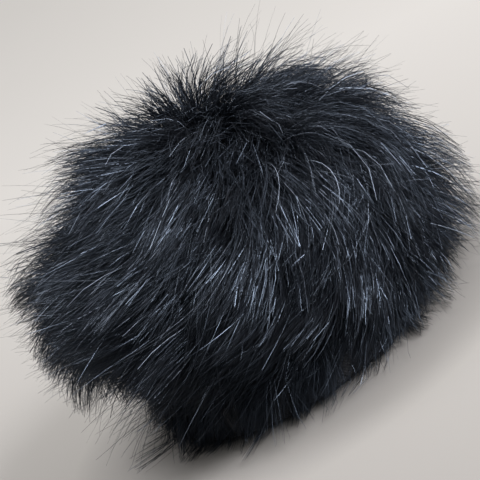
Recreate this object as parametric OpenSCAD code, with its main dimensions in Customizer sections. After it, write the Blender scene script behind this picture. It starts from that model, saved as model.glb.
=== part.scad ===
// Slip-on furry windscreen: a sewn cover of long-pile fur that pulls off a foam core.
// Millimetres, +Z up. The origin is the middle of the mouth, on the surface the windscreen stands on.

/* [Foam core] */
// Diameter of the foam core
core_d = 80; // [66:1:110]
// Height of the core's straight wall, from its base to where its dome starts
wall_h = 27; // [24:1:60]
// Thickness of the foam ring glued under the dome
base_t = 10; // [5:0.5:14]
// Foam left above the cavity's rounded end
crown_foam = 20; // [10:1:26]
// Room round the microphone's head inside the foam
head_room = 3; // [1:0.5:6]

/* [Collar] */
// Bore of the rubber collar, which grips the microphone
bore_d = 38; // [18:0.5:44]
// Wall of the collar's sleeve
collar_wall = 2.5; // [1.5:0.5:4]
// Width of the flange outside the sleeve
flange_w = 5; // [2:0.5:7]
// Thickness of the flange
flange_t = 2; // [1:0.5:4]

/* [Fur cover] */
// Clearance between the core and the hem that grips it
slip = 0.4; // [0.3:0.1:1]
// Room inside the gores for their seams
seam_room = 0.6; // [0.6:0.1:1.5]
// Thickness of the knitted backing that the pile grows from
backing_t = 1.5; // [0.8:0.1:3]
// Depth of the standing pile, with its backing
pile_depth = 17.5; // [14:0.5:36]
// Width of the pile that meets the surface outside the hem
foot_w = 2; // [1:0.5:8]
// Diameter of the hollow at the crown where the pile parts
whorl_d = 34; // [16:1:44]
// Diameter of the thread knot at the crown
tack_d = 4; // [2:0.5:8]

/* [Hem] */
// Thickness of the casing tape
casing_t = 0.7; // [0.4:0.1:1.2]
// Width of the elastic
elastic_w = 8; // [5:0.5:14]
// Thickness of the elastic
elastic_t = 1; // [0.6:0.1:1.2]
// Height of the gores' edge held inside the casing
tongue_h = 3; // [2:0.5:6]
// Height of the cover's lower edge over the surface
lift = 0.3; // [0.2:0.1:1]

/* [Thread] */
// Diameter of the seam thread
seam_thread_d = 0.5; // [0.3:0.1:0.6]
// Diameter of the hem thread
hem_thread_d = 0.5; // [0.3:0.1:0.7]
// Number of stitches round the hem
hem_stitch_count = 60; // [30:2:80]
// Share of each stitch's pitch that its thread covers
stitch_share = 0.7; // [0.4:0.05:0.85]
// Number of zigzag bars across the elastic's join
zigzag_count = 5; // [3:1:7]
// Length of a zigzag bar
zigzag_l = 6; // [3:0.5:10]
// Gap between the elastic's two ends
join_gap = 1.5; // [0.5:0.5:3]
// Number of stitches in the casing's join
casing_stitch_count = 3; // [2:1:5]

/* [Fits] */
// Gap at glued, sewn and pressed curved faces
fit_gap = 0.1; // [0.05:0.05:0.2]
// Room for the tape's folds and stitches inside the pile
hem_room = 0.8; // [0.7:0.1:1.5]
// Ease on each side of what lies in the casing
ease = 0.2; // [0.1:0.05:0.4]

/* [Hidden] */
$fn = 96;

gore_angle = 60;
fur_colour = "#15161b";
thread_colour = "#0e0e11";
tape_colour = "#222226";
elastic_colour = "#2c2c31";
foam_colour = "#2b2b2e";
rubber_colour = "#1b1b1c";

// Core and collar
core_r = core_d / 2;
core_top = wall_h + core_r;
bore_r = bore_d / 2;
sleeve_r = bore_r + collar_wall;
flange_r = sleeve_r + flange_w;
cavity_r = bore_r + head_room;
cavity_mid = core_top - crown_foam - cavity_r;

// Cover: the inside is a bullet that clears the core, the outside a ball that turns in under itself
hem_r = core_r + slip;
cover_r = hem_r + seam_room;
cover_top = wall_h + cover_r;
pile_r = cover_r + pile_depth;
casing_w = 2 * casing_t + backing_t + 2 * ease;
casing_r = hem_r + casing_w;
channel_r = hem_r + casing_t;
channel_z = lift + casing_t;
tongue_z = channel_z + elastic_w + 2 * ease;
hem_h = tongue_z + tongue_h;
pocket_r = casing_r + hem_room;
foot_r = pocket_r + foot_w;

// The turned-in edge is an arc from the widest girth down to the foot
tuck = pile_r - foot_r;
roll_h = wall_h - lift;
roll_r = (tuck * tuck + roll_h * roll_h) / (2 * tuck);

// The hollow at the crown goes down to the backing
whorl_r = whorl_d / 2;
whorl_z = wall_h + sqrt(pile_r * pile_r - whorl_r * whorl_r);
hole_r = tack_d / 2 + fit_gap;
hollow_z = cover_top + backing_t;
hollow_steps = 10;

// Threads
seam_r = cover_r - fit_gap / 2 - seam_thread_d / 2;
seam_arc = acos((hole_r + seam_thread_d) / seam_r);
elastic_r = channel_r + ease;
zigzag_r = elastic_r + elastic_t + fit_gap / 2 + hem_thread_d / 2;
stitch_r = casing_r + fit_gap / 2 + hem_thread_d / 2;

function arc_angle(length, r) = 360 * length / (2 * PI * r);

// Outside of the pile, as a half section: the ball's top, its girth and its turned-in edge
module pile_outline() {
  intersection() {
    translate([0, wall_h]) circle(r = pile_r);
    translate([0, wall_h]) square([pile_r, pile_r]);
  }
  intersection() {
    translate([pile_r - roll_r, wall_h]) circle(r = roll_r);
    translate([0, lift]) square([pile_r, roll_h]);
  }
}

// Room inside the cover: the core's bullet with its clearance
module cover_room() {
  square([cover_r, wall_h]);
  intersection() {
    translate([0, wall_h]) circle(r = cover_r);
    translate([0, wall_h]) square([cover_r, cover_r]);
  }
}

// Hollow at the crown: a rounded lip that falls to the knot
module crown_hollow() {
  lip = [for (i = [0 : hollow_steps])
    let (t = 90 * i / hollow_steps)
    [hole_r + (whorl_r - hole_r) * (1 - cos(t)), hollow_z + (whorl_z - hollow_z) * sin(t)]];
  above = wall_h + 2 * pile_r;
  polygon(concat([[0, wall_h], [hole_r, wall_h]], lip, [[whorl_r, above], [0, above]]));
}

// Half section of a fur gore, with the tongue of backing that the casing holds
module gore_section() {
  difference() {
    pile_outline();
    cover_room();
    crown_hollow();
    square([pocket_r, hem_h]);
  }
  translate([channel_r + ease, tongue_z]) square([backing_t, tongue_h]);
}

// A thread that runs up the inside of a seam, from the hem over the dome to the crown
module seam_thread(a) {
  color(thread_colour) rotate([0, 0, a]) {
    translate([seam_r, 0, hem_h]) cylinder(d = seam_thread_d, h = wall_h - hem_h);
    translate([0, 0, wall_h]) rotate([90, 0, 0]) rotate_extrude(angle = seam_arc)
      translate([seam_r, 0]) circle(d = seam_thread_d);
  }
}

// One gore, from the seam at angle a to the next
module gore(a) {
  color(fur_colour) rotate([0, 0, a]) rotate_extrude(angle = gore_angle) gore_section();
}

// A short stitch bent round the axis, with its middle at angle a
module stitch(r, z, length, a) {
  span = arc_angle(length, r);
  rotate([0, 0, a - span / 2]) rotate_extrude(angle = span) translate([r, z]) circle(d = hem_thread_d);
}

module fur_panel_front() { gore(-120); }
module fur_panel_front_right() { gore(-60); }
module fur_panel_back_right() { gore(0); }
module fur_panel_back() { gore(60); }
module fur_panel_back_left() { gore(120); }
module fur_panel_front_left() { gore(180); }

module seam_thread_right() { seam_thread(0); }
module seam_thread_back_right() { seam_thread(60); }
module seam_thread_back_left() { seam_thread(120); }
module seam_thread_left() { seam_thread(180); }
module seam_thread_front_left() { seam_thread(240); }
module seam_thread_front_right() { seam_thread(300); }

// Knot of thread through the backing, with a rounded head in the hollow
module crown_tack() {
  color(thread_colour) rotate_extrude() {
    translate([0, cover_top]) square([tack_d / 2, backing_t]);
    intersection() {
      translate([0, hollow_z]) circle(d = tack_d);
      translate([0, hollow_z]) square([tack_d, tack_d]);
    }
  }
}

// Binding tape folded round the mouth, open upwards for the gores' edge
module hem_casing() {
  color(tape_colour) rotate_extrude() translate([hem_r, lift]) difference() {
    square([casing_w, hem_h - lift]);
    translate([casing_t, casing_t]) square([casing_w - 2 * casing_t, hem_h]);
  }
}

// Row of stitches that closes the casing on the gores' edge
module hem_stitches() {
  pitch = 2 * PI * stitch_r / hem_stitch_count;
  color(thread_colour) for (i = [0 : hem_stitch_count - 1])
    stitch(stitch_r, hem_h - tongue_h / 2, pitch * stitch_share, i * 360 / hem_stitch_count);
}

// Upright stitches over the ends of the casing tape, at the back
module casing_join_stitches() {
  run = tongue_z - channel_z;
  pitch = run / casing_stitch_count;
  color(thread_colour) rotate([0, 0, 90]) for (i = [0 : casing_stitch_count - 1])
    translate([stitch_r, 0, channel_z + (i + (1 - stitch_share) / 2) * pitch])
      cylinder(d = hem_thread_d, h = pitch * stitch_share);
}

// Flat elastic in the casing, with its ends nearly meeting at the back
module elastic_band() {
  gap = arc_angle(join_gap, elastic_r);
  color(elastic_colour) rotate([0, 0, 90 + gap / 2]) rotate_extrude(angle = 360 - gap)
    translate([elastic_r, channel_z + ease]) square([elastic_t, elastic_w]);
}

// Zigzag bars across the elastic's two ends
module elastic_join_stitches() {
  pitch = elastic_w / zigzag_count;
  color(thread_colour) for (i = [0 : zigzag_count - 1])
    stitch(zigzag_r, channel_z + ease + (i + 0.5) * pitch, zigzag_l, 90);
}

// Foam body: a bullet with a rounded cavity and a seat for the collar's flange
module foam_dome() {
  color(foam_colour) rotate_extrude() difference() {
    union() {
      translate([0, base_t]) square([core_r, wall_h - base_t]);
      intersection() {
        translate([0, wall_h]) circle(r = core_r);
        translate([0, wall_h]) square([core_r, core_r]);
      }
    }
    square([cavity_r, cavity_mid]);
    translate([0, cavity_mid]) circle(r = cavity_r);
    square([flange_r + fit_gap, base_t + flange_t]);
  }
}

// Foam ring under the dome, which the collar's sleeve passes through
module foam_base_ring() {
  color(foam_colour) rotate_extrude() translate([sleeve_r + fit_gap, 0])
    square([core_r - sleeve_r - fit_gap, base_t]);
}

// Rubber collar: a sleeve with a flange on top
module mic_collar() {
  color(rubber_colour) rotate_extrude() {
    translate([bore_r, 0]) square([collar_wall, base_t + flange_t]);
    translate([bore_r, base_t]) square([collar_wall + flange_w, flange_t]);
  }
}

fur_panel_front();
fur_panel_front_right();
fur_panel_back_right();
fur_panel_back();
fur_panel_back_left();
fur_panel_front_left();
seam_thread_right();
seam_thread_back_right();
seam_thread_back_left();
seam_thread_left();
seam_thread_front_left();
seam_thread_front_right();
crown_tack();
hem_casing();
hem_stitches();
casing_join_stitches();
elastic_band();
elastic_join_stitches();
foam_dome();
foam_base_ring();
mic_collar();
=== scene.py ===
# %% [markdown]
# # A furry windscreen
#
# The windscreen is a sewn cover of long black pile that pulls off a foam core. The solid model fixes
# where every piece sits and how it moves. This lesson dresses that model: it grows the pile, makes the
# knitted backing, the hem, the elastic and the foam, gives each of them a finish, and lights them on a
# pale floor.
#
# Everything is in metres, in the solid model's own frame: +Z is up, and the mouth's middle is the origin.

# %% Load the frame
import math

import bpy
import numpy as np
from mathutils import Matrix, Vector, noise


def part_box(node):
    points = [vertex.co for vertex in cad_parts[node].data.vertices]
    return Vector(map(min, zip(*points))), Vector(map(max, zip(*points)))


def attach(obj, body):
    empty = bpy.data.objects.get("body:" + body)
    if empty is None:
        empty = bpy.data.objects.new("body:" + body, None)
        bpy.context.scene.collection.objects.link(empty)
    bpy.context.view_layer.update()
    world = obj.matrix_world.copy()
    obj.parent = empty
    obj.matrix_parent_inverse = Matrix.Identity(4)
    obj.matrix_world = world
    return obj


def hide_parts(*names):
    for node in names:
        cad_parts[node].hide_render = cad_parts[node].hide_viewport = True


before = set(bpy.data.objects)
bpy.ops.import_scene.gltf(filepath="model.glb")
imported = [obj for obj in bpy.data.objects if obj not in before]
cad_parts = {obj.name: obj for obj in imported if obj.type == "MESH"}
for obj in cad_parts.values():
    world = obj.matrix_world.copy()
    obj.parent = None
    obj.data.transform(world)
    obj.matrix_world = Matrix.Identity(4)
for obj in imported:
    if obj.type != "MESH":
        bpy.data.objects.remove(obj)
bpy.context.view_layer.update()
MM = 0.001

# %% [markdown]
# ## Sizes
#
# The pieces that replace solids have to sit where the solids are, so their sizes are read from the frame.
# The core is a straight wall with half a ball on top, and the cover's skin is the same shape a little
# larger. A size that no solid shows by itself, such as the thickness of the knit, is a named value where
# it is first needed.

# %% Read the sizes of the core, the skin and the hem


def radii(node):
    """The least and greatest distance of a solid from the axis."""
    away = [math.hypot(corner.co.x, corner.co.y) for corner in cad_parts[node].data.vertices]
    return min(away), max(away)


core_low, core_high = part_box("foam_dome")
core_r = core_high.x
dome_z = core_high.z - core_r
hem_low, hem_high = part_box("hem_casing")
hem_r, casing_r = radii("hem_casing")

BACKING = 1.5 * MM
SEAM_GAP = 0.05 * MM
knit_r = radii("seam_thread_right")[1] + SEAM_GAP
skin_r = knit_r + BACKING
print("core radius", round(core_r / MM, 2), "skin radius", round(skin_r / MM, 2), "mm")
print("the dome starts at", round(dome_z / MM, 2), "mm")

# %% [markdown]
# ## Writing shader maths as sums
#
# A finish in Blender is a web of nodes. Wiring Math nodes by hand hides the formula, so one small class
# wraps a socket and lets Python's own operators add the nodes. Every other node comes from one method,
# which takes the node's type, its settings and what goes into its sockets.

# %% A socket that can be added and multiplied, and a finish that makes nodes


class Wire:
    """A node's output that takes part in sums: each operator adds one Math node."""

    def __init__(self, finish, socket):
        self.finish = finish
        self.socket = socket

    def maths(self, operation, *others):
        values = dict(enumerate((self, *others)))
        return self.finish.node("Math", {"operation": operation}, values)

    def __add__(self, other):
        return self.maths("ADD", other)

    def __sub__(self, other):
        return self.maths("SUBTRACT", other)

    def __mul__(self, other):
        return self.maths("MULTIPLY", other)

    def __truediv__(self, other):
        return self.maths("DIVIDE", other)

    def __pow__(self, other):
        return self.maths("POWER", other)

    def __rsub__(self, other):
        return self * -1 + other

    __radd__ = __add__
    __rmul__ = __mul__

    def clear(self):
        """Kept from 0 to 1."""
        return self.maths("MAXIMUM", 0.0).maths("MINIMUM", 1.0)


class Finish:
    """One material, its Principled shader and the nodes that vary it over the surface."""

    def __init__(self, name, **constants):
        self.material = bpy.data.materials.new(name)
        self.material.use_nodes = True
        self.tree = self.material.node_tree
        self.shader = self.tree.nodes["Principled BSDF"]
        self.use(**constants)

    def feed(self, socket, value):
        if isinstance(value, Wire):
            self.tree.links.new(value.socket, socket)
        else:
            socket.default_value = value

    def node(self, kind, settings=(), sockets=(), out=0):
        made = self.tree.nodes.new("ShaderNode" + kind)
        for name, value in dict(settings).items():
            if name == "stops":
                for _ in range(len(value) - len(made.color_ramp.elements)):
                    made.color_ramp.elements.new(1.0)
                for stop, (place, colour) in zip(made.color_ramp.elements, value):
                    stop.position = place
                    stop.color = (*colour, 1.0)
            else:
                setattr(made, name, value)
        for name, value in dict(sockets).items():
            self.feed(made.inputs[name], value)
        return Wire(self, made.outputs[out])

    def mix(self, share, first, second):
        """A colour that goes from first to second."""
        colours = [value if isinstance(value, Wire) else (*value, 1.0) for value in (first, second)]
        return self.node("Mix", {"data_type": "RGBA"}, {0: share, 6: colours[0], 7: colours[1]}, out=2)

    def axes(self, vector):
        """The three parts of a vector."""
        split = self.node("SeparateXYZ", (), {"Vector": vector})
        return [Wire(self, socket) for socket in split.socket.node.outputs]

    def place(self):
        """Where a point is on the object, in metres."""
        return self.node("TexCoord", out="Object")

    def use(self, **sockets):
        for name, value in sockets.items():
            self.feed(self.shader.inputs[name.replace("_", " ")], value)

    def bump(self, height, depth):
        """Lets a height from 0 to 1, of that depth in metres, catch the light."""
        self.use(Normal=self.node("Bump", (), {"Height": height, "Distance": depth}))


print("shader helpers ready")

# %% [markdown]
# ## The camera
#
# The camera comes early, because the pile is combed the way that the picture shows it. The windscreen
# slumps to its left there. The model stands straight on its mouth, so the camera leans to the right
# instead, and "down" in the picture is a direction that leans to the left of the model's own down.

# %% Camera
ELEVATION = math.radians(17)
LEAN = math.radians(35)
FIELD = math.radians(13)
PIXEL = 0.29 * MM
IMAGE = 480
BALL_PIXEL = (256, 273)

towards_camera = Vector((0, -math.cos(ELEVATION), math.sin(ELEVATION)))
level_up = Vector((0, math.sin(ELEVATION), math.cos(ELEVATION)))
level_right = Vector((1, 0, 0))
picture_up = level_up * math.cos(LEAN) + level_right * math.sin(LEAN)
picture_right = level_right * math.cos(LEAN) - level_up * math.sin(LEAN)
ball_middle = Vector((0, 0, dome_z))


def as_seen(right, up, towards):
    """A direction or an offset that is given as the picture sees it."""
    return picture_right * right + picture_up * up + towards_camera * towards


picture_middle = ball_middle + as_seen(IMAGE / 2 - BALL_PIXEL[0], BALL_PIXEL[1] - IMAGE / 2, 0) * PIXEL

view = bpy.data.cameras.new("camera")
view.sensor_width = 36
view.angle = FIELD
camera = bpy.data.objects.new("camera", view)
distance = PIXEL * IMAGE / 2 / math.tan(FIELD / 2)
turn = Matrix((picture_right, picture_up, towards_camera)).transposed()
camera.matrix_world = Matrix.Translation(picture_middle + towards_camera * distance) @ turn.to_4x4()
bpy.context.collection.objects.link(camera)
bpy.context.scene.camera = camera
print("camera at", [round(v, 3) for v in camera.matrix_world.translation])

# %% [markdown]
# ## The fur's finish
#
# The pile is a glossy black fibre. Most of its blue-grey lights are reflections, so they come from the
# shader's gloss and from the lamps, but a few strands carry a painted glint: a pale blue-grey base colour
# that stands in for a strand catching the lamp. The finish varies the colour and the polish: most fibres
# are nearly black in a random spread of dark dyes, the painted-glint fibres are pale, each is darkest at
# its root, and the short fibres are matt. Every strand carries a map whose columns run from the matt
# fibres and the darkest dye to the pale painted glints and whose rows run from root to tip, so the
# finish is a plain function of that map and bakes into one small picture.

# %% Fur finish
SHADES = 64
SOFT_SHADES = 16
PAINTED_GLINT_SHADES = 2
ROOT_TONE = (0.0012, 0.0012, 0.0014)
# The last two stops are painted glints: pale blue-grey base colours for strands that look lit.
DYES_AND_PAINTED_GLINTS = [
    (0.00, (0.0020, 0.0021, 0.0026)),
    (0.70, (0.0045, 0.0048, 0.0060)),
    (0.95, (0.0130, 0.0136, 0.0160)),
    (0.97, (0.2100, 0.2400, 0.2900)),
    (1.00, (0.4500, 0.5100, 0.6100)),
]


def fur_finish():
    fur = Finish("black_fur", IOR=1.55, Specular_Tint=(0.65, 0.785, 1.0, 1.0))
    u, v, _ = fur.axes(fur.node("UVMap", {"uv_map": "OFBake"}))
    dye = fur.node("ValToRGB", {"stops": DYES_AND_PAINTED_GLINTS}, {"Fac": u}, out="Color")
    fur.use(Base_Color=fur.mix((v * 2.0).clear(), ROOT_TONE, dye))
    uneven = fur.node("TexWhiteNoise", {"noise_dimensions": "1D"}, {"W": (u * SHADES).maths("FLOOR")})
    soft = u.maths("LESS_THAN", SOFT_SHADES / SHADES)
    fur.use(Roughness=0.30 + uneven * 0.13 + soft * 0.22)
    return fur.material


FUR = fur_finish()
print("fur finish has", len(FUR.node_tree.nodes), "nodes")

# %% [markdown]
# ## Roots on the skin
#
# Blender's hair system would draw fur quickly, but its strands aren't meshes, so they can't be kept as
# pieces. Here each strand is a closed three-sided tube, and whole gores of strands are worked out at once
# with arrays.
#
# Roots are spread evenly. A slice of a ball has the same skin as an equal slice of the cylinder around
# it, so a random height and a random turn give an even spread over the dome and the wall alike. The nap
# runs away from a place beside the top, where the slumped ball has its crown in the picture, and a notch
# opens next to it.

# %% Roots
GORES = {
    "front": -120,
    "front_right": -60,
    "back_right": 0,
    "back": 60,
    "back_left": 120,
    "front_left": 180,
}
GORE_TURN = math.radians(60)
ROOT_LOW = hem_high.z
BARE_CROWN = radii("crown_tack")[1] + 0.5 * MM
ROOT_SUNK = 0.3 * MM
CROWN_LEAN = math.radians(24)
CROWN = np.array(as_seen(-math.sin(CROWN_LEAN), math.cos(CROWN_LEAN), 0.08).normalized())
PARTING = np.array(as_seen(math.cos(CROWN_LEAN), math.sin(CROWN_LEAN), 0))
PARTING_PLACE = 0.16
PARTING_WIDTH = 0.10


def unit(vectors):
    return vectors / np.maximum(np.linalg.norm(vectors, axis=-1, keepdims=True), 1e-12)


def skin_frame(points):
    """The skin's outward direction and the nap's way from the crown, beside each point."""
    outward = points * [1, 1, 0]
    outward[:, 2] = np.maximum(points[:, 2] - dome_z, 0)
    normal = unit(outward)
    return normal, unit(normal * (normal @ CROWN)[:, None] - CROWN)


def skin_roots(count, start, band):
    """Roots on the lowest band of a gore, and how far each is from the crown, 0, to the hem, 1."""
    radius = skin_r - ROOT_SUNK
    dome = math.sqrt(radius**2 - BARE_CROWN**2)
    wall = dome_z - ROOT_LOW
    level = rng.random(count) * band * (dome + wall) - wall
    turn = math.radians(start) + GORE_TURN * rng.random(count)
    up = np.maximum(level, 0) / radius
    out = radius * np.sqrt(1 - up**2)
    root = np.stack([out * np.cos(turn), out * np.sin(turn), dome_z + level], axis=1)
    drop = np.maximum(-level, 0)
    from_top = (radius * np.arccos(up) + drop) / (radius * math.pi / 2 + wall)
    from_crown = (radius * np.arccos(skin_frame(root)[0] @ CROWN) + drop) / (radius * math.pi / 2 + wall)
    return root, from_crown + (from_top - from_crown) * from_top


print("the pile parts", round(math.degrees(math.acos(CROWN[2]))), "degrees from the top")

# %% [markdown]
# ## How the pile lies
#
# A strand starts nearly square to the skin and then lies down along the nap, which runs away from the
# crown. At the crown the strands stand up. Down the sides they lie flatter, and at the hem they are
# short, so that the ball turns in under itself. A hand has stroked this pile: further down it is combed
# more and more to the left, and at the left and right it is longer and lifted. Where a strand meets the
# floor it slides along it.
#
# Fur never lies evenly. A slow drift over the skin makes partings and lobes, and the strands of a tuft
# lean together and draw in towards the tuft's middle, which makes locks.

# %% The pile's shape from crown to hem
WAY = (0.0, 0.06, 0.13, 0.27, 0.50, 0.75, 0.90, 1.0)
LENGTH = (27, 30, 33, 33, 33, 22, 15, 13)
ROOT_LEAN = (16, 24, 29, 34, 40, 55, 66, 72)
LIE_DOWN = (14, 28, 39, 44, 40, 33, 26, 20)
SWIRL = -62
SWIRL_FROM = 0.8
SIDE_SWIRL = 14
EDGE_COMB = 0.9
FRONT_COMB = 0.6
LEAST_COMB = 0.3
HEM_FADE = 6
LEFT_LIFT = 12
RIGHT_LIFT = 13
LEFT_LENGTH = 0.42
RIGHT_LENGTH = 0.45
LEFT_LEVEL = -0.07
LEFT_ABOVE = 0.3
LEFT_BELOW = 0.55
LEFT_TRIM = 0.5
RIGHT_START = 1.2
RIGHT_FADE = 5
RIGHT_TRIM = 0.8
NOTCH_SHORTER = 0.5
NOTCH_LEAN = 28
NOTCH_BACK = 0.8
NOTCH_TOP = 2
NOTCH_FADE = 5
DRIFT = dict(length=0.10, lean=9, turn=12)
DROOP = 0.10
SETTLE_BEND = 0.8
FALL = -np.array(picture_up)
FLOOR_GAP = 0.4 * MM
FLOOR_DRAG = 0.50
FLOOR_PULL = 4 * MM
PULL_SPREAD = 0.3
FLOOR_WAY = np.array(picture_right.cross((0, 0, 1)).normalized())
REACH = 80 * MM
REACH_SIDE = 71.4 * MM
REACH_UP = 66.0 * MM
FREE_REACH = 62 * MM

rng = np.random.default_rng(1711)
DRIFT_WAVES = 6
DRIFT_LENGTH = 18 * MM
DRIFT_BEND = 2 * math.pi / DRIFT_LENGTH / math.sqrt(3)
drifts = {
    name: (rng.standard_normal((3, DRIFT_WAVES)) * DRIFT_BEND, rng.random(DRIFT_WAVES) * 2 * math.pi)
    for name in ("length", "lean", "turn")
}
PICTURE_WAYS = np.array([picture_right, picture_up, towards_camera])


def drift(name, points):
    """A slow wave over the skin, mostly from -1 to 1."""
    waves, phase = drifts[name]
    return np.sin(points @ waves + phase).sum(axis=1) / math.sqrt(DRIFT_WAVES)


def as_pictured(normal):
    """How far each direction points to the right, up and towards the viewer."""
    return PICTURE_WAYS @ normal.T


def combed(normal):
    """How far the pile is combed round from the nap: more and more to the left, down the picture."""
    rightward, upward, facing = as_pictured(normal)
    share = np.clip(EDGE_COMB + FRONT_COMB * facing, LEAST_COMB, 1)
    return np.radians((SWIRL * (SWIRL_FROM - upward) + SIDE_SWIRL * rightward) * share)


def pile_shape(root, way, scale, comb, lift, own):
    """How each strand at these roots grows: its length, and its angles in radians."""
    normal = skin_frame(root)[0]
    rightward, upward, facing = as_pictured(normal)
    over_hem = np.clip(HEM_FADE - HEM_FADE * way, 0, 1)
    beside = (upward - LEFT_LEVEL) / np.where(upward > LEFT_LEVEL, LEFT_ABOVE, LEFT_BELOW)
    left = (1 + LEFT_TRIM) * np.exp(-(beside**2)) - LEFT_TRIM
    left = np.maximum(-rightward, 0) * left * over_hem
    right = np.clip(RIGHT_START + RIGHT_FADE * upward, -RIGHT_TRIM, 1)
    right = np.maximum(rightward, 0) ** 2 * right * over_hem
    parted = np.exp(-(((normal @ PARTING - PARTING_PLACE) / PARTING_WIDTH) ** 2))
    parted = parted * np.clip(NOTCH_BACK - NOTCH_FADE * facing, 0, 1)
    parted = parted * np.clip(NOTCH_TOP - NOTCH_FADE * way, 0, 1)
    length = np.interp(way, WAY, LENGTH) * MM * scale * (1 + DRIFT["length"] * drift("length", root))
    length = length * (1 + LEFT_LENGTH * left + RIGHT_LENGTH * right) * (1 - NOTCH_SHORTER * parted)
    lean = np.interp(way, WAY, ROOT_LEAN) + DRIFT["lean"] * drift("lean", root) - lift
    lean = lean - LEFT_LIFT * left - RIGHT_LIFT * right + NOTCH_LEAN * parted
    return {
        "length": length * (1 + own["length"]).clip(0.3),
        "lean": np.radians(lean + own["lean"]),
        "settle": np.radians(np.interp(way, WAY, LIE_DOWN) - lift + own["settle"]),
        "comb": comb,
        "turn": np.radians(DRIFT["turn"] * drift("turn", root) + own["turn"]),
        "curl": np.radians(own["curl"]),
    }


def grow(root, points, shape, floor):
    """Paths from root to tip."""
    step = (shape["length"] / (points - 1))[:, None]
    path = [root]
    for place in range(points - 1):
        share = (place + 0.5) / (points - 1)
        normal, nap = skin_frame(path[-1])
        turn = (combed(normal) * shape["comb"] + shape["turn"] + shape["curl"] * share)[:, None]
        lean = (shape["lean"] + shape["settle"] * share**SETTLE_BEND)[:, None]
        along = nap * np.cos(turn) + np.cross(normal, nap) * np.sin(turn)
        way = normal * np.cos(lean) + along * np.sin(lean) + FALL * (DROOP * share)
        path.append(step_over_floor(path[-1], unit(way) * step, floor))
    return np.stack(path, axis=1)


def step_over_floor(start, move, floor):
    """One step of each strand, which drags along the floor where it would go through it."""
    low = (start[:, 2] + move[:, 2] < floor)[:, None]
    length = np.linalg.norm(move, axis=1)
    drop = np.clip(floor - start[:, 2], -length, length)
    outward = unit(start * [1, 1, 0])
    pull = np.clip(outward @ FLOOR_WAY + PULL_SPREAD, 0, 1)[:, None] * FLOOR_WAY
    slide = unit(move * [1, 1, 0] + outward * FLOOR_PULL / 2 + pull * FLOOR_PULL)
    slide = slide * FLOOR_DRAG * np.sqrt(length**2 - drop**2)[:, None]
    slide[:, 2] = drop
    return start + np.where(low, slide, move)


REACH_BOX = np.array([REACH_SIDE, REACH_SIDE, REACH_UP])


def kept_in_reach(path):
    """Draws in the strands that stand out too far from the ball's middle."""
    offset = path - np.array(ball_middle)
    root, tip = np.linalg.norm(offset[:, 0], axis=1), np.linalg.norm(offset[:, -1], axis=1)
    room = REACH_BOX / np.maximum(np.abs(offset[:, -1]) / tip[:, None], 0.1)
    room = np.minimum(room.min(axis=1), REACH) - FREE_REACH
    over = np.maximum(tip - FREE_REACH, 0)
    kept = FREE_REACH + room * (1 - np.exp(-over / room))
    share = np.where(over > 0, (kept - root) / np.maximum(tip - root, FLOOR_GAP), 1)
    return path[:, :1] + (path - path[:, :1]) * share[:, None, None]


# %% Tufts
TUFT_SPREAD = dict(length=0.17, lean=13, settle=10, turn=15, curl=12)
TUFT_HEAP = 2 * MM
HAIR_HEAP = 3 * MM
GATHER_BEND = 1.4
GATHERED = 0.75


def uneven(count, spreads):
    return {name: spread * rng.standard_normal(count) for name, spread in spreads.items()}


def tufted(start, count, tufts, points, scale, spread, pinch, band=1.0, comb=1.0, lift=0, ragged=1.0):
    """Strands of one gore, drawn in towards the middles of their tufts."""
    tuft_root, tuft_way = skin_roots(tufts, start, band)
    tuft_own = uneven(tufts, TUFT_SPREAD)
    tuft_own["length"] = np.exp(ragged * tuft_own["length"]) - 1
    tuft_floor = FLOOR_GAP + TUFT_HEAP * rng.random(tufts)
    tuft_shape = pile_shape(tuft_root, tuft_way, scale, comb, lift, tuft_own)
    tuft_path = grow(tuft_root, points, tuft_shape, tuft_floor)
    root, way = skin_roots(count, start, band)
    tuft = np.argmin(((root[:, None] - tuft_root[None]) ** 2).sum(-1), axis=1)
    own = {name: tuft_own[name][tuft] + values for name, values in uneven(count, spread).items()}
    floor = FLOOR_GAP + HAIR_HEAP * rng.random(count)
    path = grow(root, points, pile_shape(root, way, scale, comb, lift, own), floor)
    share = np.linspace(0, 1, points)[None, :, None] ** GATHER_BEND
    drawn = pinch * (0.5 + 0.5 * rng.random(count))[:, None, None] * share
    gathered = tuft_path[tuft] + (root - tuft_root[tuft])[:, None] * (1 - GATHERED * share)
    path = path + (gathered - path) * drawn
    path[:, 1:, 2] = np.maximum(path[:, 1:, 2], floor[:, None])
    return kept_in_reach(path)


# %% [markdown]
# ## Strands as closed tubes
#
# Three sides are enough for a strand a fifth of a millimetre thick. The fibres are cut, so a strand keeps
# most of its thickness to the tip and ends bluntly. Its sides are left flat and twist a little: each is a
# long narrow mirror that either catches the lamp or stays black, which is what makes the pile glint
# instead of looking dusty. The mesh is filled from arrays in one go, because adding millions of corners
# one by one would take minutes.

# %% Meshes from arrays
ROOT_WIDTH = 0.7
ROOT_SWELL = 1.5
TIP_TAPER = 0.55


def mesh_piece(name, vertices, faces, uv=None, flat=False):
    """A mesh object from arrays of corners and of faces with equally many corners."""
    mesh = bpy.data.meshes.new(name)
    mesh.vertices.add(len(vertices))
    mesh.vertices.foreach_set("co", np.asarray(vertices, np.float32).ravel())
    mesh.loops.add(faces.size)
    mesh.loops.foreach_set("vertex_index", faces.astype(np.int32).ravel())
    mesh.polygons.add(len(faces))
    mesh.polygons.foreach_set("loop_start", np.arange(0, faces.size, faces.shape[1], dtype=np.int32))
    mesh.update(calc_edges=True)
    if flat:
        mesh.shade_flat()
    else:
        mesh.shade_smooth()
    if uv is not None:
        mesh.uv_layers.new(name="OFBake").uv.foreach_set("vector", uv.astype(np.float32).ravel())
    piece = bpy.data.objects.new(name, mesh)
    bpy.context.collection.objects.link(piece)
    return piece


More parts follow.
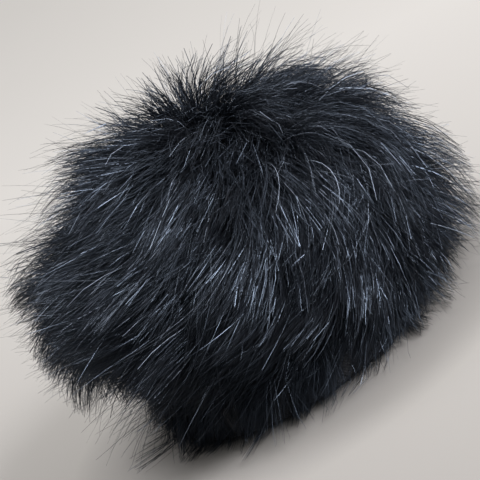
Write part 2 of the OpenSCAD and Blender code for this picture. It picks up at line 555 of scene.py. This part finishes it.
def dress(piece, material, body, slot, *nodes):
    """Gives a piece its finish, the body it moves with and the solids that it stands for."""
    piece.data.materials.append(material)
    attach(piece, body)
    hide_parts(*nodes)
    return piece


def strand_faces(points):
    """Triangles of one tube: its root's cap, its sides and its tip's cap."""
    faces = [(0, 2, 1)]
    for corner in range(0, 3 * (points - 1)):
        beside = corner + 1 if corner % 3 < 2 else corner - 2
        faces += [(corner, beside, beside + 3), (corner, beside + 3, corner + 3)]
    tip = 3 * (points - 1)
    return np.array(faces + [(tip, tip + 1, tip + 2)])


def hair_piece(name, path, width, column, flat):
    """One mesh of strands, with a map of dye and painted-glint columns and root-to-tip rows."""
    count, points, _ = path.shape
    along = unit(np.gradient(path, axis=1))
    side = np.cross(*skin_frame(path[:, 0]))[:, None]
    across = unit(side - along * (along * side).sum(-1, keepdims=True))
    over = np.cross(along, across)
    row = np.linspace(0, 1, points)
    taper = np.minimum(1.0, ROOT_WIDTH + ROOT_SWELL * row) * (1 - TIP_TAPER * row**3)
    radius = (width / 2)[:, None, None] * taper[None, :, None]
    start, wind = rng.random(count), rng.standard_normal(count)
    twist = start[:, None, None] * 2 * math.pi + wind[:, None, None] * row[None, :, None]
    corners = []
    for angle in np.radians((0, 120, 240)):
        corners.append(across * np.cos(twist + angle) + over * np.sin(twist + angle))
    vertices = np.stack([path + corner * radius for corner in corners], axis=2)
    faces = strand_faces(points)
    corner_u = np.tile((0.2, 0.5, 0.8), points)
    corner_v = np.repeat(row, 3) * 0.98 + 0.01
    u = (column[:, None, None] + corner_u[faces]) / SHADES
    uv = np.stack([u, np.broadcast_to(corner_v[faces], u.shape)], axis=-1)
    faces = faces[None] + (np.arange(count) * 3 * points)[:, None, None]
    return mesh_piece(name, vertices.reshape(-1, 3), faces.reshape(-1, 3), uv, flat)


# %% [markdown]
# ## Guard hair, underfur, strays and the hem's fringe
#
# Long glossy guard hairs give the pile its outline. Short underfur fills the gaps between them, so that
# the skin never shows. A few stray hairs stand off on their own, and a few hairs of both long kinds get
# a pale base colour as a painted glint. Along the hem a fringe hangs over the tape, mostly short, with a
# few long clumps.

# %% Grow the pile of each gore
GUARD = dict(count=6000, tufts=110, points=6, scale=1.0, pinch=0.75)
GUARD["spread"] = dict(length=0.24, lean=7, settle=8, turn=11, curl=12)
UNDER = dict(count=5000, tufts=500, points=5, scale=0.79, pinch=0.6)
UNDER["spread"] = dict(length=0.20, lean=9, settle=10, turn=11, curl=12)
STRAY = dict(count=560, tufts=560, points=9, scale=1.5, pinch=0.0, lift=16)
STRAY["spread"] = dict(length=0.25, lean=10, settle=10, turn=9, curl=10)
FRINGE = dict(count=2100, tufts=90, points=7, scale=1.04, pinch=0.65, band=0.08, comb=0.3, ragged=2.6)
FRINGE["spread"] = dict(length=0.24, lean=6, settle=7, turn=12, curl=18)
KINDS = {
    "guard_hair": (GUARD, 0.155 * MM),
    "underfur": (UNDER, 0.26 * MM),
    "stray_hair": (STRAY, 0.10 * MM),
    "hem_fringe": (FRINGE, 0.13 * MM),
}
SOFT_KINDS = ("underfur", "hem_fringe")
PAINTED_GLINT_SHARE = {"guard_hair": 0.004, "stray_hair": 0.012}
WIDTH_SPREAD = 0.28
WIDTH_RANGE = (0.5, 1.8)

pile = {gore: [] for gore in GORES}
for gore, start in GORES.items():
    for kind, (growth, thickness) in KINDS.items():
        path = tufted(start, **growth)
        count = len(path)
        width = thickness * (1 + WIDTH_SPREAD * rng.standard_normal(count)).clip(*WIDTH_RANGE)
        first, last = (0, SOFT_SHADES) if kind in SOFT_KINDS else (SOFT_SHADES, SHADES - PAINTED_GLINT_SHADES)
        column = rng.integers(first, last, count)
        # The pale columns are painted glints: a few long strands get a pale base colour as if lit.
        pale = rng.random(count) < PAINTED_GLINT_SHARE.get(kind, 0)
        column = np.where(pale, SHADES - rng.integers(1, PAINTED_GLINT_SHADES + 1, count), column)
        hair = hair_piece(kind + "_" + gore, path, width, column, flat=kind != "underfur")
        pile[gore].append(dress(hair, FUR, "fur_cover", "black_fur", "fur_panel_" + gore))
print("strands", sum(kind["count"] for kind, _ in KINDS.values()) * len(GORES))

# %% [markdown]
# ## The knitted backing
#
# The pile is knitted into a thin black fabric, and each gore of it is one sheet. It shows inside the
# cover when the cover is pulled off. A sheet between two grids of points is a closed mesh with a real
# thickness, so it looks right from both sides. The lower edge of each gore is a narrow tongue that the
# hem's tape holds.

# %% Closed sheets between two grids
KNIT_RIBS = 320
COURSE = 0.9 * MM


def grid_quads(index):
    """Faces between the rows and columns of a grid of corner numbers."""
    corners = [index[:-1, :-1], index[1:, :-1], index[1:, 1:], index[:-1, 1:]]
    return np.stack(corners, axis=-1).reshape(-1, 4)


def thick_sheet(name, outer, inner, ring=False):
    """A closed sheet between two grids of rows and columns. A ring's last column meets its first."""
    rows, columns, _ = outer.shape
    front = np.arange(rows * columns).reshape(rows, columns)
    if ring:
        front = np.concatenate([front, front[:, :1]], axis=1)
    back = front + rows * columns
    faces = [grid_quads(front), grid_quads(back)[:, ::-1]]
    faces.append(grid_quads(np.stack([back[0], front[0]])))
    faces.append(grid_quads(np.stack([front[-1], back[-1]])))
    if not ring:
        faces.append(grid_quads(np.stack([front[:, 0], back[:, 0]])))
        faces.append(grid_quads(np.stack([back[:, -1], front[:, -1]])))
    vertices = np.concatenate([outer.reshape(-1, 3), inner.reshape(-1, 3)])
    return mesh_piece(name, vertices, np.concatenate(faces))


def swept(radius, height, turns):
    """A grid of points: each row is one place of a half section, each column one turn about the axis."""
    radius, height = np.broadcast_arrays(radius, height)
    if radius.ndim == 1:
        radius, height = radius[:, None], height[:, None]
    columns = len(turns)
    across = np.broadcast_to(radius, (len(radius), columns))
    up = np.broadcast_to(height, (len(height), columns))
    return np.stack([across * np.cos(turns), across * np.sin(turns), up], axis=-1)


def knit_finish():
    """Rows of small loops round the ball: ribs up the gore, crossed by courses."""
    knit = Finish("knit_backing", Roughness=0.85, Sheen_Weight=0.3, Sheen_Roughness=0.5)
    x, y, z = knit.axes(knit.place())
    rib = (y.maths("ARCTAN2", x) * KNIT_RIBS).maths("SINE")
    course = (z * (2 * math.pi / COURSE) + rib).maths("SINE")
    loop = (rib * course * 0.5 + 0.5).clear()
    knit.use(Base_Color=knit.mix(loop, (0.006, 0.006, 0.007), (0.030, 0.030, 0.034)))
    knit.bump(loop, 0.25 * MM)
    return knit.material


KNIT = knit_finish()
TONGUE_LOW = hem_high.z - 3.0 * MM
TONGUE_IN = 0.3 * MM
GORE_ROWS = 60
GORE_COLUMNS = 40

crown = math.asin(BARE_CROWN / skin_r)
polar = np.linspace(crown, math.pi / 2, GORE_ROWS)
wall = np.array([dome_z - 4 * MM, ROOT_LOW + 1.5 * MM, ROOT_LOW + 0.2 * MM, TONGUE_LOW])
shift = np.concatenate([np.zeros(GORE_ROWS + 2), [TONGUE_IN, TONGUE_IN]])
gore_length = skin_r * (math.pi / 2 - crown) + dome_z - TONGUE_LOW
gore_width = skin_r * GORE_TURN
gore_area = skin_r * GORE_TURN * (skin_r * math.cos(crown) + dome_z - TONGUE_LOW)

for gore, start in GORES.items():
    turns = math.radians(start) + np.linspace(0, GORE_TURN, GORE_COLUMNS)
    sides = []
    for radius in (skin_r, knit_r):
        out = np.concatenate([radius * np.sin(polar), np.full(len(wall), radius)]) + shift
        sides.append(swept(out, np.concatenate([dome_z + radius * np.cos(polar), wall]), turns))
    backing = thick_sheet("backing_" + gore, *sides)
    dress(backing, KNIT, "fur_cover", "knit_backing", "fur_panel_" + gore)
print("gore", round(gore_width / MM, 1), "by", round(gore_length / MM, 1), "mm")
print("gore area", round(gore_area / MM**2), "square millimetres")

# %% [markdown]
# ## The hem
#
# A woven tape is folded round the mouth and sewn to the gores' edge, and a flat elastic runs in the fold.
# The elastic gathers the tape, so its outside has small puckers. The tape is made as one folded strip: a
# line across it is drawn once and turned about the axis, and the outer half is rippled.

# %% Woven tape
TWILLS = 260
PICK = 1.1 * MM


def tape_finish():
    tape = Finish("woven_tape", Roughness=0.7, Sheen_Weight=0.25, Sheen_Roughness=0.4)
    x, y, z = tape.axes(tape.place())
    turn = y.maths("ARCTAN2", x) * TWILLS
    rise = z * (2 * math.pi / PICK)
    twill = ((turn + rise).maths("SINE") * 0.5 + 0.5).clear()
    pick = ((turn - rise * 2.0).maths("SINE") * 0.5 + 0.5).clear()
    yarn = twill * 0.7 + pick * 0.3
    tape.use(Base_Color=tape.mix(yarn, (0.010, 0.010, 0.012), (0.042, 0.042, 0.047)))
    tape.use(Roughness=0.60 + yarn * 0.2)
    tape.bump(yarn, 0.12 * MM)
    return tape.material


TAPE = 0.7 * MM
PUCKERS = 76
PUCKER_DEPTH = 0.22 * MM
TAPE_COLUMNS = 456
FOLD_STEPS = 12
RISE_STEPS = 11
HELD_LENGTH = 4 * MM


def fold_line(offset):
    """The tape's half section beside its middle line: down the outside, round the fold, up the inside."""
    fold = (casing_r - hem_r - TAPE) / 2
    middle = (casing_r + hem_r) / 2
    low = hem_low.z + TAPE / 2 + fold
    bend = np.radians(np.linspace(0, -180, FOLD_STEPS + 1))
    rise = np.linspace(low, hem_high.z, RISE_STEPS + 1)[1:]
    radius = fold + offset
    outside, inside = np.full(RISE_STEPS, middle + radius), np.full(RISE_STEPS, middle - radius)
    r = np.concatenate([outside, middle + radius * np.cos(bend), inside])
    z = np.concatenate([rise[::-1], low + radius * np.sin(bend), rise])
    return r, z


turns = np.linspace(0, 2 * math.pi, TAPE_COLUMNS, endpoint=False)
pucker = np.sin(PUCKERS * turns + 1.4 * np.sin(5 * turns)) * (0.7 + 0.3 * np.sin(13 * turns))
sides = []
for offset in (TAPE / 2, -TAPE / 2):
    r, z = fold_line(offset)
    outside = np.clip((r - (hem_r + casing_r) / 2) / (casing_r - hem_r) * 2, 0, 1)
    held = np.clip((hem_high.z - z) / HELD_LENGTH, 0.25, 1)
    sides.append(swept(r[:, None] + (outside * held)[:, None] * PUCKER_DEPTH * pucker, z[:, None], turns))
casing = thick_sheet("hem_tape", *sides, ring=True)
dress(casing, tape_finish(), "fur_cover", "binding_tape", "hem_casing")
tape_width = 2 * (hem_high.z - hem_low.z) + (math.pi / 2 - 1) * (casing_r - hem_r)
tape_length = math.pi * (casing_r + hem_r)
print("tape", round(tape_width / MM, 1), "by", round(tape_length / MM, 1), "mm")

# %% [markdown]
# Flat elastic is woven over rubber cords that run its whole length, so it shows ribs. They are modelled
# in the strip's section, and only the fine cover yarn is left to the finish.

# %% Ribbed elastic
COVER_YARNS = 420
RIBS = 8
RIB_ROWS = 8
ELASTIC_COLUMNS = 300


def elastic_finish():
    band = Finish("ribbed_elastic", Roughness=0.62, Sheen_Weight=0.2, Sheen_Roughness=0.4)
    x, y, z = band.axes(band.place())
    yarn = ((y.maths("ARCTAN2", x) * COVER_YARNS).maths("SINE") * 0.5 + 0.5).clear()
    rib = ((z * (2 * math.pi / RIB)).maths("COSINE") * 0.5 + 0.5).clear()
    band.use(Base_Color=band.mix(yarn * 0.6 + rib * 0.4, (0.012, 0.012, 0.014), (0.05, 0.05, 0.056)))
    band.bump(yarn, 0.08 * MM)
    return band.material


band_low, band_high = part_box("elastic_band")
band_in, band_out = radii("elastic_band")
RIB = (band_high.z - band_low.z) / RIBS
RIB_DEPTH = 0.12 * MM
JOIN_GAP = 1.5 * MM
gap = JOIN_GAP / band_in
turns = np.linspace(math.pi / 2 + gap / 2, math.pi * 5 / 2 - gap / 2, ELASTIC_COLUMNS)
z = np.linspace(band_high.z, band_low.z, RIBS * RIB_ROWS + 1)
rib = RIB_DEPTH * (0.5 - 0.5 * np.cos(2 * math.pi * (z - band_low.z) / RIB))
sides = swept(band_out - RIB_DEPTH + rib, z, turns), swept(band_in + RIB_DEPTH - rib, z, turns)
elastic = thick_sheet("elastic", *sides)
dress(elastic, elastic_finish(), "fur_cover", "flat_elastic", "elastic_band")
print("elastic", round((band_high.z - band_low.z) / MM, 1), "mm wide")

# %% [markdown]
# ## Sewing thread
#
# The solid model already has every stitch where it belongs, as short round pieces, and their shape is
# right. They keep their solids and get the finish of a twisted black thread. The knot at the crown shows
# its winding, so it is wound again as one curve: a spiral over the knot's head.

# %% Thread and the crown's knot
TWIST = 0.6 * MM
THREAD_D = 0.5 * MM
KNOT_TURNS = 4
KNOT_POINTS = 24


def thread_finish():
    thread = Finish("sewing_thread", Roughness=0.5, Sheen_Weight=0.2)
    x, y, z = thread.axes(thread.place())
    ply = (((x + y + z) * (2 * math.pi / TWIST)).maths("SINE") * 0.5 + 0.5).clear()
    thread.use(Base_Color=thread.mix(ply, (0.004, 0.004, 0.005), (0.022, 0.022, 0.025)))
    thread.use(Roughness=0.42 + ply * 0.16)
    thread.bump(ply, 0.06 * MM)
    return thread.material


THREAD = thread_finish()
SEWN = [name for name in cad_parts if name.startswith("seam_thread") or name.endswith("_stitches")]
for name in SEWN:
    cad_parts[name].material_slots[0].material = THREAD

tack_low, tack_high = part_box("crown_tack")
head_r = tack_high.x - THREAD_D / 2
wind = bpy.data.curves.new("crown_knot", "CURVE")
wind.dimensions = "3D"
wind.bevel_depth = THREAD_D / 2
wind.bevel_resolution = 3
wind.use_fill_caps = True
shares = np.linspace(0, 1, KNOT_POINTS * KNOT_TURNS)
spiral = wind.splines.new("POLY")
spiral.points.add(len(shares) - 1)
for point, share in zip(spiral.points, shares):
    polar = math.pi / 2 * min(1.0, 1.5 * (1 - share))
    angle = 2 * math.pi * KNOT_TURNS * share
    rise = tack_low.z + THREAD_D + (tack_high.z - tack_low.z - 1.5 * THREAD_D) * share
    away = head_r * math.sin(polar)
    point.co = (away * math.cos(angle), away * math.sin(angle), rise, 1)
knot = bpy.data.objects.new("crown_knot", wind)
bpy.context.collection.objects.link(knot)
dress(knot, THREAD, "fur_cover", "sewing_thread", "crown_tack")
print("sewn pieces", len(SEWN), "and one knot")

# %% [markdown]
# ## The foam core
#
# Open-cell foam is all struts and holes. Its surface is a half section turned about the axis, on a grid
# fine enough to dent every cell: a cell texture says how far each point is from the wall between two
# cells, and points in the middle of a cell sink in. The finish adds the finer holes inside the cells as
# painted shade: away from the struts its colour turns nearly black.

# %% Foam
FINE_CELL = 0.9 * MM


def foam_finish():
    foam = Finish("open_cell_foam", Roughness=0.95)
    place = foam.place()
    cells = {"Vector": place, "Scale": 1 / FINE_CELL}
    hole = foam.node("TexVoronoi", {"feature": "DISTANCE_TO_EDGE"}, cells)
    strut = (1 - hole * 3.2).clear()
    cloud = foam.node("TexNoise", (), {"Vector": place, "Scale": 60.0, "Detail": 3.0})
    # Painted shade: the holes between the struts are coloured nearly black.
    painted_hole_shade = foam.mix(cloud, (0.006, 0.006, 0.0065), (0.010, 0.010, 0.011))
    foam.use(Base_Color=foam.mix(strut, painted_hole_shade, (0.050, 0.050, 0.054)))
    foam.bump(strut, 0.3 * MM)
    return foam.material


FOAM = foam_finish()
CELL = 1.9 * MM
CELL_WALL = 0.45
DENT = 0.35 * MM
FOAM_STEP = 0.75 * MM


def run(start, end):
    """Points of a straight stretch of a half section, without its end."""
    return np.linspace(start, end, max(2, round(math.dist(start, end) / FOAM_STEP)), endpoint=False)


def arc(middle, radius, first, last):
    """Points of a round stretch about a place on the axis, without its end, from one angle to another."""
    count = round(math.radians(abs(last - first)) * radius / FOAM_STEP)
    angles = np.radians(np.linspace(first, last, count, endpoint=False))
    return np.stack([radius * np.cos(angles), middle + radius * np.sin(angles)], axis=1)


def dented(points, normal):
    """Points moved in where they are in the middle of a cell."""
    near = [noise.voronoi(Vector(point) / CELL)[0][:2] for point in points]
    depth = np.clip([(second - first) / CELL_WALL for first, second in near], 0, 1) * DENT
    return points - normal * depth[:, None]


def foam_piece(name, line, node):
    """Foam turned from a half section, which is a loop or has both its ends on the axis."""
    loop = line[0][0] > FOAM_STEP
    ring = line if loop else line[1:-1]
    columns = round(2 * math.pi * core_r / FOAM_STEP)
    turns = np.linspace(0, 2 * math.pi, columns, endpoint=False)
    along = np.gradient(ring, axis=0)
    outward = unit(np.stack([-along[:, 1], along[:, 0]], axis=1))
    points = swept(ring[:, 0], ring[:, 1], turns).reshape(-1, 3)
    points = dented(points, swept(outward[:, 0], outward[:, 1], turns).reshape(-1, 3))
    index = np.arange(len(points)).reshape(len(ring), columns)
    index = np.concatenate([index, index[:, :1]], axis=1)
    quads = grid_quads(np.concatenate([index, index[:1]]) if loop else index)
    faces = np.concatenate([quads[:, (0, 1, 2)], quads[:, (0, 2, 3)]])
    if not loop:
        top, low = len(points), len(points) + 1
        points = np.concatenate([points, [[0, 0, line[0][1]], [0, 0, line[-1][1]]]])
        caps = [(top, a, b) for a, b in zip(index[0][:-1], index[0][1:])]
        caps += [(low, b, a) for a, b in zip(index[-1][:-1], index[-1][1:])]
        faces = np.concatenate([faces, caps])
    piece = dress(mesh_piece(name, points, faces), FOAM, "foam_core", "open_cell_foam", node)
    return piece


HEAD_ROOM = 3 * MM
CROWN_FOAM = 20 * MM
bore_r, flange_r = radii("mic_collar")
sleeve_r = radii("foam_base_ring")[0]
seat_r = flange_r + 0.1 * MM
seat_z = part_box("mic_collar")[1].z
cavity_r = bore_r + HEAD_ROOM
cavity_mid = core_high.z - CROWN_FOAM - cavity_r
DOME_LINE = np.concatenate(
    [
        arc(dome_z, core_r, 90, 0),
        run((core_r, dome_z), (core_r, core_low.z)),
        run((core_r, core_low.z), (seat_r, core_low.z)),
        run((seat_r, core_low.z), (seat_r, seat_z)),
        run((seat_r, seat_z), (cavity_r, seat_z)),
        run((cavity_r, seat_z), (cavity_r, cavity_mid)),
        arc(cavity_mid, cavity_r, 0, 90),
        [[0, cavity_mid + cavity_r]],
    ]
)
RING_CORNERS = [(core_r, core_low.z), (core_r, 0), (sleeve_r, 0), (sleeve_r, core_low.z)]
RING_LINE = np.concatenate([run(*ends) for ends in zip(RING_CORNERS, RING_CORNERS[1:] + RING_CORNERS[:1])])
for name, line, node in (("foam_body", DOME_LINE, "foam_dome"), ("foam_ring", RING_LINE, "foam_base_ring")):
    print(name, len(foam_piece(name, line, node).data.polygons), "faces")

# %% [markdown]
# ## The collar
#
# The collar is moulded rubber, a plain shape that the solid model already has right. It keeps its solid.
# Moulded rubber is matt with a faint mottle, and dust lightens it a little, so its roughness and colour
# drift slowly.

# %% Collar rubber


def rubber_finish():
    rubber = Finish("collar_rubber", Specular_IOR_Level=0.4)
    place = rubber.place()
    mottle = rubber.node("TexNoise", (), {"Vector": place, "Scale": 180.0, "Detail": 4.0})
    grain = rubber.node("TexNoise", (), {"Vector": place, "Scale": 2600.0, "Detail": 2.0})
    rubber.use(Base_Color=rubber.mix(mottle, (0.010, 0.010, 0.0105), (0.026, 0.026, 0.027)))
    rubber.use(Roughness=0.55 + mottle * 0.2)
    rubber.bump(grain, 0.04 * MM)
    return rubber.material


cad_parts["mic_collar"].material_slots[0].material = rubber_finish()
print("collar keeps its solid")

# %% [markdown]
# ## Floor and light
#
# The floor is plain and pale, and part of its paleness is for the camera alone, so that little light
# comes back from it under the ball. That part is painted light: it is weakest a little way in front of
# the ball and grows from there, as on a table that a window lights from behind. It fades out beside the
# hem as a painted shadow, where the ball shades the floor.
#
# A soft lamp hangs over the front. Its light runs along the strands and shows as a broad band across the
# middle of the ball, where the strands turn from facing it to falling away. A second lamp does the same
# for the locks that are combed to the left, and a weaker one behind on the right lifts the edge there.

# %% Floor
FLOOR_SIZE = 12
FLOOR_FADE = 0.20
FLOOR_DIP = 0.25
FLOOR_SIDE = 0.45
SHADE_WIDTH = 40 * MM
bpy.ops.mesh.primitive_plane_add(size=FLOOR_SIZE)
floor = bpy.context.object
floor.name = "floor"
paint = Finish("pale_floor", Roughness=0.85, Emission_Strength=1.0)
place = paint.place()
grain = paint.node("TexNoise", (), {"Vector": place, "Scale": 5.0, "Detail": 4.0})
paint.use(Base_Color=paint.mix(grain, (0.114, 0.106, 0.098), (0.128, 0.120, 0.112)))
# Painted light: the camera-only glow is dimmest a little in front of the ball and brightens away from it.
x, y, _ = paint.axes(place)
fade = (picture_up - picture_right * FLOOR_SIDE) / FLOOR_FADE
back = ((x * fade.x + y * fade.y + FLOOR_DIP).maths("ABSOLUTE") + FLOOR_DIP).clear()
# Painted shadow: the glow fades to nothing within SHADE_WIDTH of the hem, where the ball shades the floor.
outside_painted_shadow = (((x * x + y * y) ** 0.5 - casing_r) / SHADE_WIDTH).clear()
seen = paint.node("LightPath", out="Is Camera Ray")
painted_floor_light = paint.mix(back, (0.024, 0.014, 0.002), (0.510, 0.488, 0.462))
paint.use(Emission_Color=paint.mix(seen * outside_painted_shadow, (0, 0, 0), painted_floor_light))
floor.data.materials.append(paint.material)

# %% Lamps and world
SKY = (0.90, 0.95, 1.0, 1.0)
SKY_STRENGTH = 0.27
COOL = (0.95, 0.96, 1.0)
WARM = (1.0, 0.98, 0.95)
scene = bpy.context.scene
world = bpy.data.worlds.new("studio")
scene.world = world
world.use_nodes = True
air = world.node_tree.nodes["Background"]
air.inputs["Color"].default_value = SKY
air.inputs["Strength"].default_value = SKY_STRENGTH


def lamp(name, place, size, power, colour):
    """A square soft lamp that faces the ball, at a place that is given as the picture sees it."""
    light = bpy.data.lights.new(name, "AREA")
    light.size = size
    light.energy = power
    light.color = colour
    holder = bpy.data.objects.new(name, light)
    offset = as_seen(*place)
    holder.location = ball_middle + offset
    holder.rotation_euler = (-offset).to_track_quat("-Z", "Y").to_euler()
    bpy.context.collection.objects.link(holder)


lamp("overhead", (0.16, 0.58, 0.50), 0.24, 15.4, COOL)
lamp("window", (0.80, 0.40, -0.40), 0.45, 5.0, WARM)
lamp("left", (-0.70, 0.54, 0.08), 0.36, 8.4, COOL)
scene.view_settings.view_transform = "Standard"
